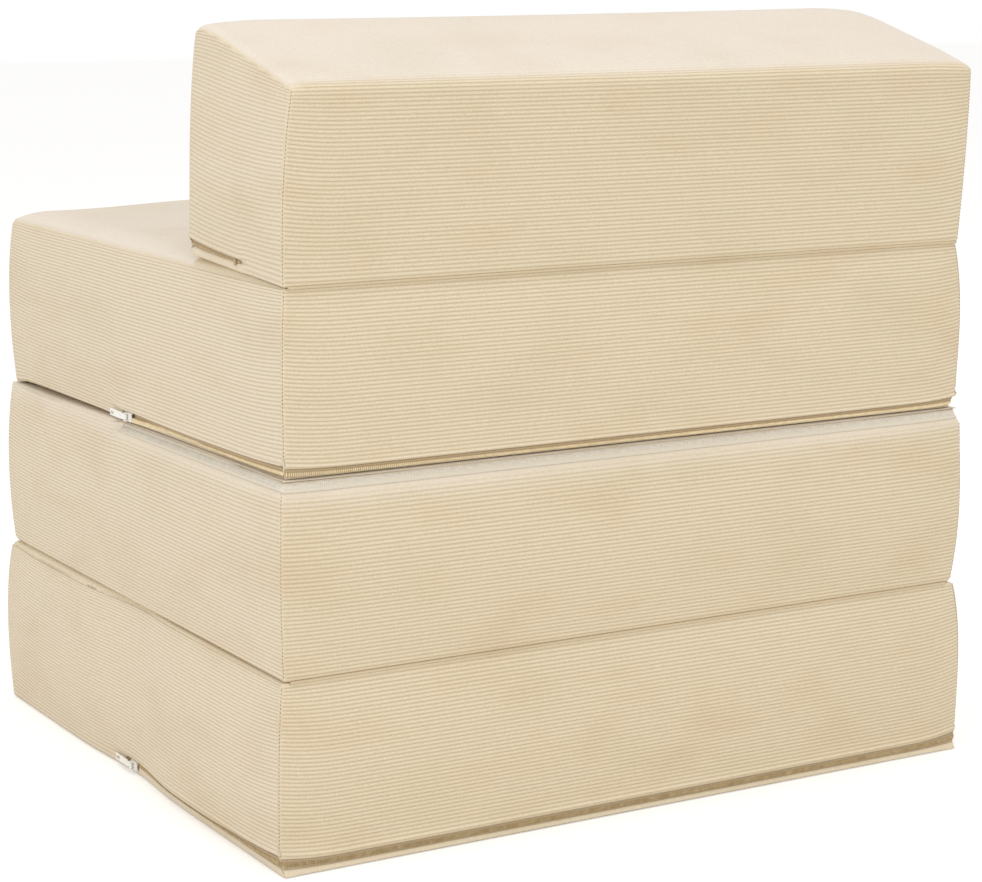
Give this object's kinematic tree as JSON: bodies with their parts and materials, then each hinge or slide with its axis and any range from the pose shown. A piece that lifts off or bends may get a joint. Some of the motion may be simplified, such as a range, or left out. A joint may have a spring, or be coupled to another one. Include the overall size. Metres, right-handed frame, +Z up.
{
  "type": "folding sofa bed",
  "caption": "Armless foam folding sofa bed: stacked seat slabs in zipped corduroy covers under a wedge backrest, hinged to open into a bed.",
  "frame": {"origin": "on the floor, midway between the side seams and midway between the front and back seams of the slabs", "axes": "+Z up, +Y to the back, where the backrest stands, +X to the right seen from the front"},
  "size_m": [0.77, 0.6748, 0.7435],
  "materials": {
    "cover": "ribbed corduroy",
    "foam": "open-cell foam",
    "zip": "woven tape with nylon coil",
    "zip_metal": "gloss enamel",
    "strip": "ribbed corduroy"
  },
  "bodies": {
    "base": {"base_cover": "cover", "base_foam": "foam", "base_zip": "zip", "base_slider_side_stop": "zip_metal", "base_far_side_stop": "zip_metal", "base_middle_hinge": "strip"},
    "middle": {"middle_cover": "cover", "middle_foam": "foam", "middle_zip": "zip", "middle_slider_side_stop": "zip_metal", "middle_far_side_stop": "zip_metal", "middle_upper_hinge": "strip"},
    "upper": {"upper_cover": "cover", "upper_foam": "foam", "upper_zip": "zip", "upper_slider_side_stop": "zip_metal", "upper_far_side_stop": "zip_metal", "upper_backrest_hinge": "strip"},
    "backrest": {"backrest_cover": "cover", "backrest_foam": "foam", "backrest_zip": "zip", "backrest_slider_side_stop": "zip_metal", "backrest_far_side_stop": "zip_metal"},
    "base_slider": {"base_slider": "zip_metal"},
    "middle_slider": {"middle_slider": "zip_metal"},
    "upper_slider": {"upper_slider": "zip_metal"},
    "backrest_slider": {"backrest_slider": "zip_metal"},
    "base_pull_tab": {"base_pull_tab": "zip_metal"},
    "middle_pull_tab": {"middle_pull_tab": "zip_metal"},
    "upper_pull_tab": {"upper_pull_tab": "zip_metal"},
    "backrest_pull_tab": {"backrest_pull_tab": "zip_metal"}
  },
  "joints": [
    {"name": "lower_fold", "type": "hinge", "parent": "base", "child": "middle", "pos_m": [0, 0.3353, 0.174], "axis": [-1, 0, 0], "range_deg": [0, 180]},
    {"name": "upper_fold", "type": "hinge", "parent": "middle", "child": "upper", "pos_m": [0, -0.3353, 0.348], "axis": [1, 0, 0], "range_deg": [0, 180]},
    {"name": "backrest_fold", "type": "hinge", "parent": "upper", "child": "backrest", "pos_m": [0, 0.3353, 0.522], "axis": [-1, 0, 0], "range_deg": [0, 165]},
    {"name": "base_zip_slide", "type": "slide", "parent": "base", "child": "base_slider", "axis": [0, 1, 0], "range_m": [0, 0.27]},
    {"name": "middle_zip_slide", "type": "slide", "parent": "middle", "child": "middle_slider", "axis": [0, 1, 0], "range_m": [0, 0.27]},
    {"name": "upper_zip_slide", "type": "slide", "parent": "upper", "child": "upper_slider", "axis": [0, 1, 0], "range_m": [0, 0.27]},
    {"name": "backrest_zip_slide", "type": "slide", "parent": "backrest", "child": "backrest_slider", "axis": [0, -0.9986, 0.0536], "range_m": [0, 0.05]},
    {"name": "base_tab_flip", "type": "hinge", "parent": "base_slider", "child": "base_pull_tab", "pos_m": [0.3802, -0.0105, 0.0085], "axis": [0, 0, 1], "range_deg": [0, 180]},
    {"name": "middle_tab_flip", "type": "hinge", "parent": "middle_slider", "child": "middle_pull_tab", "pos_m": [-0.3802, -0.0105, 0.3392], "axis": [0, 0, -1], "range_deg": [0, 180]},
    {"name": "upper_tab_flip", "type": "hinge", "parent": "upper_slider", "child": "upper_pull_tab", "pos_m": [0.3802, -0.0105, 0.3588], "axis": [0, 0, 1], "range_deg": [0, 180]},
    {"name": "backrest_tab_flip", "type": "hinge", "parent": "backrest_slider", "child": "backrest_pull_tab", "pos_m": [-0.3802, 0.22083, 0.5364], "axis": [0, 0.0536, 0.9986], "range_deg": [0, 180]}
  ]
}
